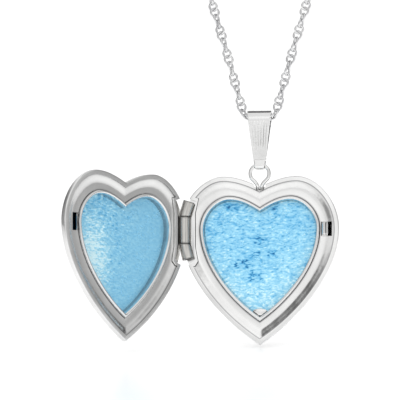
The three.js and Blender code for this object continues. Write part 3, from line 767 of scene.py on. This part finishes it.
UPPER_START = np.array([HINGE_X, 0, MIDDLE_TOP_Z + KNUCKLE_GAP])
LOWER_START = np.array([HINGE_X, 0, MIDDLE_BOTTOM_Z - KNUCKLE_GAP])
UPPER_WAY, LOWER_WAY = lean(UPPER_TILT), lean(180 - LOWER_TILT)


def circle_round(centre, way, radius):
    turn = np.linspace(0, 2 * math.pi, 90)[:, None]
    ray = np.cos(turn) * np.cross(way, Y_WAY) + np.sin(turn) * Y_WAY
    return centre + ray * radius


def crevice_tree():
    """The lines, in a half's own place, along which two pieces meet closely or a tube ends, and near which
    shade is painted.
    """
    lines = [
        ring_at(inset(HEART, LIP_WIDTH), 0.2),
        ring_at(inset(BEAD, -0.04), BEAD_MIDDLE_Y),
        ring_at(BEAD, 0.22),
        ring_at(WINDOW, BEVEL_BOTTOM_Y),
    ]
    # The gap between the middle knuckle and the pocket's wall.
    down = np.linspace(MIDDLE_TOP_Z, MIDDLE_BOTTOM_Z, 60)
    for x in (-8.28, -8.14, -8.0):
        for y in np.arange(0, POCKET_DEPTH, 0.15):
            lines.append(np.column_stack([np.full_like(down, x), np.full_like(down, y), down]))
    # The joints between the knuckles, then the outer knuckles' open ends.
    for z in (MIDDLE_TOP_Z, MIDDLE_BOTTOM_Z):
        lines.append(circle_round((HINGE_X, 0, z), (0, 0, -1), KNUCKLE_R))
    for start, way in ((UPPER_START, UPPER_WAY), (LOWER_START, LOWER_WAY)):
        for radius in (END_BORE, KNUCKLE_R - 0.06):
            lines.append(circle_round(start + way * OUTER_KNUCKLE, way, radius))
    points = np.concatenate(lines)
    tree = KDTree(len(points))
    for i, p in enumerate(points):
        tree.insert(Vector(p) * MM, i)
    tree.balance()
    return tree


CREVICES = crevice_tree()
CREVICE_WIDTH = 0.17 * MM
# How strongly shade is painted near crevices on the back, on the cover's polished silver, and down the bevel
# behind the bead.
BACK_CREVICE_SHADE, COVER_CREVICE_SHADE, BEVEL_SHADE = 0.9, 0.45, 0.55


def mark_crevices(mesh, strength, bevel):
    """Painted shade marks of 0 to 1: near a crevice by strength, and down behind the bead by bevel."""
    marks = []
    for vertex in mesh.vertices:
        distance = CREVICES.find(vertex.co)[2]
        near = strength * max(0.0, 1 - distance / CREVICE_WIDTH) ** 0.8
        # Painted shade deepening down the bevel behind the bead.
        deep = bevel * min(1, max(0, vertex.co.y / MM - BEAD_MIDDLE_Y) / 0.3)
        marks.append(max(near, deep))
    mesh.attributes.new("crevice", "FLOAT", "POINT").data.foreach_set("value", marks)


def put_half(piece, body, slot, *nodes, angle=35):
    """Finishes a piece that was drawn in a half's own place, and puts it in the locket."""
    # The cover's polished silver gets lighter painted shade in its crevices than the rest.
    strength = COVER_CREVICE_SHADE if body == "cover" and slot == "polished_silver" else BACK_CREVICE_SHADE
    mark_crevices(piece.data, strength, BEVEL_SHADE if piece.name.endswith("bead") else 0)
    finish_piece(piece, body, slot, *nodes, angle=angle, is_cover=body == "cover")
    to_parting(piece.data)


def make_half(side, opening):
    case = shell(f"{side}_shell_sheet")
    plate = flange(f"{side}_flange_sheet", opening)
    if side == "back":
        boolean(case, loop_hole(0))
        boolean(plate, loop_hole(0.08))
    put_half(case, side, "polished_silver", f"{side}_shell")
    put_half(plate, side, "polished_silver", f"{side}_flange", angle=40)
    put_half(picture_frame(f"{side}_bead"), side, "polished_silver", f"{side}_picture_frame", angle=50)
    put_half(foil(f"{side}_crinkled_foil", side), side, "blue_foil", f"{side}_foil", angle=180)


make_half("back", catch_hole)
make_half("cover", catch_slot)
put_half(thumb_tab("thumb_tab"), "back", "polished_silver")
put_half(catch_tongue("catch_louver"), "back", "polished_silver", "catch_tongue", angle=60)


# ---------- hinge ----------

TUBE_SIDES, BORE_SIDES = 48, 32
# How far short of the pocket's floor the leaves stop, half an outer leaf's width, and its shift inwards.
LEAF_GAP, LEAF_HALF, LEAF_SHIFT = 0.03, 0.42, (0.15, 0, 0)


def outer_knuckle(name, start, way, cut, node):
    """A leaning tube with a leaf down to the pocket; the cut levels its end beside the middle knuckle."""
    end = start + way * OUTER_KNUCKLE
    tube = round_ends([start - way * 0.5, start, end], KNUCKLE_R, TUBE_SIDES, 0.05)
    piece = build_mesh(name, *loft(tube))
    x0, _, z0 = start + way * 0.25 + LEAF_SHIFT
    x1, _, z1 = end - way * 0.15 + LEAF_SHIFT
    leaf = [(x0 - LEAF_HALF, z0), (x0 + LEAF_HALF, z0), (x1 + LEAF_HALF, z1), (x1 - LEAF_HALF, z1)]
    boolean(piece, prism(leaf, 0.4, POCKET_DEPTH - LEAF_GAP), "UNION")
    boolean(piece, loft(bar([start - way, end + way], END_BORE, BORE_SIDES)))
    boolean(piece, block(-12, -6, -2, 2, *cut))
    put_half(piece, "back", "hinge_silver", node)


upper_z, lower_z = UPPER_START[2], LOWER_START[2]
outer_knuckle("upper_knuckle_tube", UPPER_START, UPPER_WAY, (upper_z - 3, upper_z), "hinge_knuckle_upper")
outer_knuckle("lower_knuckle_tube", LOWER_START, LOWER_WAY, (lower_z, lower_z + 3), "hinge_knuckle_lower")

middle_line = [(HINGE_X, 0, MIDDLE_BOTTOM_Z), (HINGE_X, 0, -13.3), (HINGE_X, 0, MIDDLE_TOP_Z)]
middle = build_mesh("middle_knuckle_tube", *loft(round_ends(middle_line, KNUCKLE_R, TUBE_SIDES, 0.04)))
middle_leaf = block(HINGE_X - 0.1, -8.05, 0.35, POCKET_DEPTH - LEAF_GAP, MIDDLE_BOTTOM_Z, MIDDLE_TOP_Z)
boolean(middle, middle_leaf, "UNION")
boolean(middle, loft(bar([(HINGE_X, 0, -16), (HINGE_X, 0, -10)], KNUCKLE_BORE, BORE_SIDES)))
put_half(middle, "cover", "hinge_silver", "hinge_knuckle_middle")

pin_line = [
    UPPER_START + UPPER_WAY * (OUTER_KNUCKLE - 0.12),
    UPPER_START + UPPER_WAY * 0.3,
    UPPER_START,
    LOWER_START,
    LOWER_START + LOWER_WAY * 0.3,
    LOWER_START + LOWER_WAY * (OUTER_KNUCKLE - 0.35),
]
pin = build_mesh("bent_pin", *loft(round_ends(pin_line, PIN_R, 24, 0.05)))
put_half(pin, "back", "hinge_silver", "hinge_pin")

# ---------- suspension loop ----------

LOOP_LEG = [(-0.25, 0.55, -8.9), (-0.25, 0.5, -8.6), (-0.25, 0.3, -8.3), (-0.27, 0.05, -7.96),
            (-0.52, 0, -7.55)]
other_leg = [(-x, y, z) for x, y, z in reversed(LOOP_LEG)]
loop_angles = [math.radians(-205 + 23 * i) for i in range(11)]
loop_round = [(LOOP_R * math.cos(a), 0, LOOP_TOP_Z - LOOP_R - LOOP_R * math.sin(a)) for a in loop_angles]
loop_wire = bar(catmull(LOOP_LEG + loop_round + other_leg, 120), LOOP_WIRE_R, 20)
finish_piece(build_mesh("suspension_wire", *loft(loop_wire)), "back", "polished_silver", "suspension_loop")

# ---------- bail ----------

STRAP_TAPER_TOP_Z, STRAP_TAPER_BOTTOM_Z = 0.7, BAIL_WAIST_Z + 0.3


def strap_side(radius, bottom_half, bottom_z):
    """The strap's side view: up one leaf, round the eye and down the other."""
    tilt = math.asin((radius - bottom_half) / -bottom_z)
    steps = 48
    line = [(0, -bottom_half, bottom_z)]
    for i in range(steps + 1):
        angle = math.pi + tilt - (math.pi + 2 * tilt) * i / steps
        line.append((0, radius * math.cos(angle), radius * math.sin(angle)))
    line.append((0, bottom_half, bottom_z))
    return even(np.array(line, float), STRAP_POINTS)[:, 1:]


def bail_half_width(z):
    part = np.clip((STRAP_TAPER_TOP_Z - z) / (STRAP_TAPER_TOP_Z - STRAP_TAPER_BOTTOM_Z), 0, 1)
    return BAIL_TOP_WIDTH / 2 + (BAIL_WAIST_WIDTH - BAIL_TOP_WIDTH) / 2 * part


def flute_drop(across, z):
    """How far the strap's face lies below its ridges, at -1 to 1 across and at a height."""
    if abs(across) >= FLUTED_PART:
        return 0.0
    ridge = abs(math.sin((across / FLUTED_PART + 1) / 2 * math.pi * FLUTES)) ** 0.6
    fade_in = np.clip((FLUTE_TOP_Z - z) / FLUTE_FADE_IN, 0, 1)
    fade_out = np.clip((z - FLUTE_BOTTOM_Z) / FLUTE_FADE_OUT, 0, 1)
    return FLUTE_DEPTH * (1 - ridge) * fade_in * fade_out


def bail_strap():
    """A fluted outer face, an inner face and the long edges; the foot's two narrow sides are open."""
    outer = strap_side(EYE_R + BAIL_SHEET, 0.3, BAIL_WAIST_Z + 0.42)
    inner = strap_side(EYE_R, 0.03, BAIL_WAIST_Z + 0.75)
    edge_part, edge_drop = 0.04, 0.05
    outer_points, inner_points = [], []
    for across in np.linspace(-1, 1, STRAP_ROWS):
        edge = min(1.0, (1 - abs(across)) / edge_part)
        for (y, z), (inner_y, inner_z) in zip(outer, inner):
            out = unit(np.array([y - inner_y, z - inner_z]))
            drop = flute_drop(across, z) + edge_drop * (1 - edge)
            outer_points.append((across * bail_half_width(z), y - out[0] * drop, z - out[1] * drop))
            inner_points.append((across * bail_half_width(inner_z), inner_y, inner_z))
    count, rows, shift = len(outer), STRAP_ROWS, len(outer_points)
    faces = []
    for r in range(rows - 1):
        for i in range(count - 1):
            a, b = r * count + i, (r + 1) * count + i
            faces.append((a, a + 1, b + 1, b))
            faces.append((shift + a, shift + b, shift + b + 1, shift + a + 1))
    for r in (0, rows - 1):
        for i in range(count - 1):
            a = r * count + i
            faces.append((a, a + 1, shift + a + 1, shift + a))
    # The leaves meet in a solid foot, with one strip of faces below it and one above.
    for r in range(rows - 1):
        a, b = r * count, (r + 1) * count
        c, d = a + count - 1, b + count - 1
        faces.append((a, b, d, c))
        faces.append((shift + a, shift + b, shift + d, shift + c))
    return build_mesh("fluted_bail", outer_points + inner_points, faces)


finish_piece(bail_strap(), "bail", "polished_silver", "bail_strap", angle=40)


FOLD_OUTER_R = BAIL_FOLD_R + BAIL_SHEET
FOLD_TOP_Z, FOLD_CENTRE_Z = BAIL_WAIST_Z + 0.38, LOOP_TOP_Z - 0.08
FOLD_LEAN, FOLD_LEAF_PART, FOLD_STEPS = 0.2, 0.2, 40


def fold_outside():
    """The fold's side view, y and z: down one leaf, round the wire and up the other."""
    line = []
    for i in range(FOLD_STEPS + 1):
        part = i / FOLD_STEPS
        from_end = min(part, 1 - part) / FOLD_LEAF_PART
        if from_end < 1:
            y = FOLD_OUTER_R * (1 - FOLD_LEAN + FOLD_LEAN * from_end)
            z = FOLD_TOP_Z + (FOLD_CENTRE_Z - FOLD_TOP_Z) * from_end
            line.append((math.copysign(y, part - 0.5), z))
        else:
            angle = math.pi + math.pi * (part - FOLD_LEAF_PART) / (1 - 2 * FOLD_LEAF_PART)
            line.append((FOLD_OUTER_R * math.cos(angle), FOLD_CENTRE_Z + FOLD_OUTER_R * math.sin(angle)))
    return line


def fold_inside(y, z):
    """The point of the fold's inner side that faces one of its outer side."""
    if z < FOLD_CENTRE_Z:
        scale = FOLD_ROOM / FOLD_OUTER_R
        return y * scale, FOLD_CENTRE_Z + (z - FOLD_CENTRE_Z) * scale
    return math.copysign(min(abs(y) - 0.1, FOLD_ROOM), y), min(z, LOOP_TOP_Z + 0.2)


def fold_half_width(z):
    bottom_z = FOLD_CENTRE_Z - FOLD_OUTER_R
    return 0.52 + 0.2 * np.clip((z - bottom_z) / (FOLD_TOP_Z - bottom_z), 0, 1)


def bail_fold():
    """The lip at the foot of the bail, round the loop's wire."""
    outer = fold_outside()
    inner = [fold_inside(y, z) for y, z in reversed(outer)]
    edge_start, edge_depth = 0.85, 0.06
    rings = []
    for across in np.linspace(-1, 1, 25):
        rounding = edge_depth * max(0, (abs(across) - edge_start) / (1 - edge_start)) ** 2
        ring = []
        for y, z in outer:
            lift = rounding if z < FOLD_CENTRE_Z else 0
            ring.append((across * fold_half_width(z), y * (1 - rounding), z + lift))
        ring += [(across * fold_half_width(z), y, z) for y, z in inner]
        rings.append(ring)
    return build_mesh("bail_lip", *loft(rings))


finish_piece(bail_fold(), "bail", "polished_silver", "bail_fold", angle=40)


# ---------- chain ----------

def chain():
    """Round links along the route, each turned from the last; the right strand mirrors the left one."""
    route = catmull(CHAIN_POINTS, ROUTE_POINTS)
    first, last = unit(route[0] - route[1]), unit(route[-1] - route[-2])
    line = np.vstack([route[0] + first * LINK_PAST_END, route, route[-1] + last * LINK_PAST_END])
    count = round(line_length(line) / LINK_PITCH) + 1
    centres = even(line, count)
    ahead = unit(np.gradient(centres, axis=0))
    links = []
    middle_link = (count - 1) / 2
    for i, (centre, tangent) in enumerate(zip(centres, ahead)):
        flat = unit(Y_WAY - tangent * tangent[1])
        side = np.cross(tangent, flat)
        hand = 1 if i < middle_link else -1
        turn = LINK_TWIST * (i - middle_link) * hand + FIRST_TWIST
        across = side * math.cos(turn) + flat * math.sin(turn)
        links.append(torus(centre, LINK_R, LINK_WIRE, across, tangent, 28, 10, LINK_SQUASH))
    return build_mesh("rope_chain", *merged(links)), route


chain_piece, chain_route = chain()
finish_piece(chain_piece, "root", "chain_silver", "chain", angle=180)

# ---------- rings and clasp ----------

LEFT_END, RIGHT_END = np.array(CHAIN_POINTS[0], float), np.array(CHAIN_POINTS[-1], float)
# Where the right strand's straight line would leave the bail.
STRAND_FOOT = np.array([1.64, 0, 0.6])
RIGHT_UP = unit(RIGHT_END - STRAND_FOOT)
LEFT_UP = RIGHT_UP * (-1, 1, 1)
# The plain end ring is this much larger than the clasp's eye.
END_GROWTH, END_WIRE = 0.5, CLASP_EYE_WIRE + 0.02
jump_distance = JUMP_R + JUMP_WIRE + 0.1
eye_distance = jump_distance + JUMP_R + CLASP_EYE_R - 0.42
clasp_distance = eye_distance + CLASP_EYE_R + CLASP_EYE_WIRE + CLASP_R + CLASP_TUBE + 0.02
CLASP_CENTRE = LEFT_END + LEFT_UP * clasp_distance


def silver_ring(name, node, *ring):
    """A fixed ring; what follows the node is what torus takes."""
    return finish_piece(build_mesh(name, *torus(*ring)), "root", "chain_silver", node, angle=180)


left_jump = LEFT_END + LEFT_UP * jump_distance
left_eye = LEFT_END + LEFT_UP * eye_distance
right_jump = RIGHT_END + RIGHT_UP * jump_distance
right_eye = RIGHT_END + RIGHT_UP * (eye_distance + END_GROWTH)
jump_left = silver_ring("left_jump_ring", "jump_ring_left", left_jump, JUMP_R, JUMP_WIRE, Y_WAY, LEFT_UP)
jump_right = silver_ring("right_jump_ring", "jump_ring_right", right_jump, JUMP_R, JUMP_WIRE, Y_WAY, RIGHT_UP)
clasp_eye = silver_ring("clasp_foot_ring", "clasp_eye", left_eye, CLASP_EYE_R, CLASP_EYE_WIRE, X_WAY, Z_WAY)
end_ring = silver_ring(
    "plain_end_ring", "end_ring", right_eye, CLASP_EYE_R + END_GROWTH, END_WIRE, X_WAY, Z_WAY, 64)


def arc_line(radius, from_, to, steps):
    """Points on an arc round the clasp's centre, between two angles in degrees."""
    angles = [math.radians(from_ + (to - from_) * i / steps) for i in range(steps + 1)]
    return [CLASP_CENTRE + radius * np.array([math.cos(a), 0, math.sin(a)]) for a in angles]


# The bore runs past the tube's ends and the slot past the lever's travel, by these angles in degrees.
BORE_PAST, SLOT_PAST = 4, 6
SLOT_R, LEVER_R, KNOB_R, KNOB_OUT = 0.26, 0.12, 0.28, 0.92
tube_line = arc_line(CLASP_R, GAP_END, GAP_START + 360, 96)
bore_line = arc_line(CLASP_R, GAP_END - BORE_PAST, GAP_START + 360 + BORE_PAST, 96)
slot_line = arc_line(
    CLASP_R + CLASP_TUBE - 0.05, TRIGGER_ANGLE - SLOT_PAST, TRIGGER_ANGLE + BOLT_TRAVEL + SLOT_PAST, 30)
clasp_body = build_mesh("clasp_ring", *loft(round_ends(tube_line, CLASP_TUBE, 28, 0.08)))
boolean(clasp_body, loft(bar(bore_line, CLASP_BORE, 20)))
boolean(clasp_body, loft(bar(slot_line, SLOT_R, 8)))
finish_piece(clasp_body, "root", "chain_silver", "clasp_body", angle=50)

trigger = math.radians(TRIGGER_ANGLE)
trigger_out = np.array([math.cos(trigger), 0, math.sin(trigger)])
bolt_line = arc_line(CLASP_R, BOLT_TIP, BOLT_TAIL, 48)
bolt = build_mesh("clasp_slider", *loft(round_ends(bolt_line, BOLT_WIRE, 20, 0.1)))
lever = [CLASP_CENTRE + trigger_out * (CLASP_R + out) for out in (0, 0.4, 0.75)]
boolean(bolt, loft(bar(lever, LEVER_R, 16)), "UNION")
knob, knob_radii = [], []
for i in range(13):
    angle = math.radians(-90 + 15 * i)
    knob.append(CLASP_CENTRE + trigger_out * (CLASP_R + KNOB_OUT + KNOB_R * math.sin(angle)))
    knob_radii.append(max(0.02, KNOB_R * math.cos(angle)))
boolean(bolt, loft(bar(knob, knob_radii, 24)), "UNION")
finish_piece(bolt, "bolt", "chain_silver", "clasp_bolt", angle=50)

# ---------- stage: pale floor and soft light ----------

# The floor rises toward the back, so that it fills the photographed view, which looks up from below.
FLOOR_TILT = math.radians(11)
FLOOR_Z = -27.3
FLOOR_SIZE = 6000
floor_rise = FLOOR_SIZE * math.tan(FLOOR_TILT)
floor_corners = []
for side_x, side_y in ((-1, -1), (1, -1), (1, 1), (-1, 1)):
    floor_corners.append((side_x * FLOOR_SIZE, side_y * FLOOR_SIZE, FLOOR_Z + side_y * floor_rise))
floor = build_mesh("floor", floor_corners, [(0, 1, 2, 3)])
floor_material, floor_tree, floor_shader = new_material("pale_floor", Roughness=0.2, IOR=1.28)
tint(floor_tree, floor_shader, noise_node(floor_tree, 4), (0.86, 0.86, 0.86), (0.88, 0.88, 0.88))
floor.data.materials.append(floor_material)


def area_light(name, place, size, power):
    """A soft light aimed at the middle of the view, which the silver doesn't mirror."""
    data = bpy.data.lights.new(name, "AREA")
    data.shape = "RECTANGLE"
    data.size, data.size_y = size
    data.energy = power
    light = bpy.data.objects.new(name, data)
    light.location = Vector(place)
    light.rotation_euler = (VIEW_CENTRE - Vector(place)).to_track_quat("-Z", "Y").to_euler()
    light.visible_glossy = False
    bpy.context.collection.objects.link(light)


area_light("key_left", (-0.2, -0.6, 0.35), (0.3, 0.3), 1.2)
area_light("fill_right", (0.5, -0.35, -0.02), (0.15, 0.3), 0.5)
area_light("top", (0, 0.05, 0.6), (0.6, 0.4), 1.5)

world = bpy.data.worlds.new("studio")
bpy.context.scene.world = world
world.use_nodes = True
world_tree = world.node_tree
background = world_tree.nodes["Background"]
sky_place = world_tree.nodes.new("ShaderNodeTexCoord")


def world_card(towards, inner, outer, level):
    """A soft round card in one direction: its level within the inner angle, 1 past the outer one."""
    dot = add_node(world_tree, "ShaderNodeVectorMath", operation="DOT_PRODUCT")
    dot.inputs[1].default_value = Vector(towards).normalized()
    world_tree.links.new(sky_place.outputs["Generated"], dot.inputs[0])
    step = add_node(
        world_tree, "ShaderNodeMapRange", interpolation_type="SMOOTHSTEP", To_Min=1.0, To_Max=level,
        From_Min=math.cos(math.radians(outer)), From_Max=math.cos(math.radians(inner)))
    world_tree.links.new(dot.outputs["Value"], step.inputs["Value"])
    return step.outputs["Result"]


def world_product(first, second):
    """The product of two values, each a number or a socket."""
    node = add_node(world_tree, "ShaderNodeMath", operation="MULTIPLY")
    for socket, value in zip(node.inputs, (first, second)):
        if isinstance(value, float):
            socket.default_value = value
        else:
            world_tree.links.new(value, socket)
    return node.outputs[0]


# What the silver mirrors: direction, inner and outer angle in degrees, and level. A dark card is below 1.
CARDS = [
    ((-0.37, -0.86, 0.37), 4, 12, 0.15),
    ((-0.58, -0.8, -0.14), 6, 15, 0.25),
    ((0.36, -0.92, 0.14), 5, 13, 0.4),
    ((0.88, 0.35, 0.12), 22, 52, 0.5),
    ((0.9, 0.12, 0.42), 7, 15, 0.25),
    ((0.78, -0.38, 0.48), 4, 11, 0.5),
    ((-1.0, 0.15, 0.1), 25, 52, 0.4),
    ((0.0, 0.34, 0.94), 13, 22, 0.04),
    ((0.1, -0.95, 0.3), 6, 24, 1.25),
    ((-0.75, 0.6, 0.3), 12, 30, 0.4),
    ((0.65, 0.7, -0.3), 10, 32, 0.55),
    ((0.25, 0.6, 0.76), 9, 23, 0.4),
]
SKY_LEVEL, MIRRORED_LEVEL = 1.06, 0.99
mirrored = MIRRORED_LEVEL
for card in CARDS:
    mirrored = world_product(mirrored, world_card(*card))
rays = add_node(world_tree, "ShaderNodeLightPath")
sky = add_node(world_tree, "ShaderNodeMix", data_type="FLOAT")
sky.inputs[2].default_value = SKY_LEVEL
world_tree.links.new(rays.outputs["Is Glossy Ray"], sky.inputs[0])
world_tree.links.new(mirrored, sky.inputs[3])
world_tree.links.new(sky.outputs[0], background.inputs["Strength"])
background.inputs["Color"].default_value = (1, 1, 1, 1)
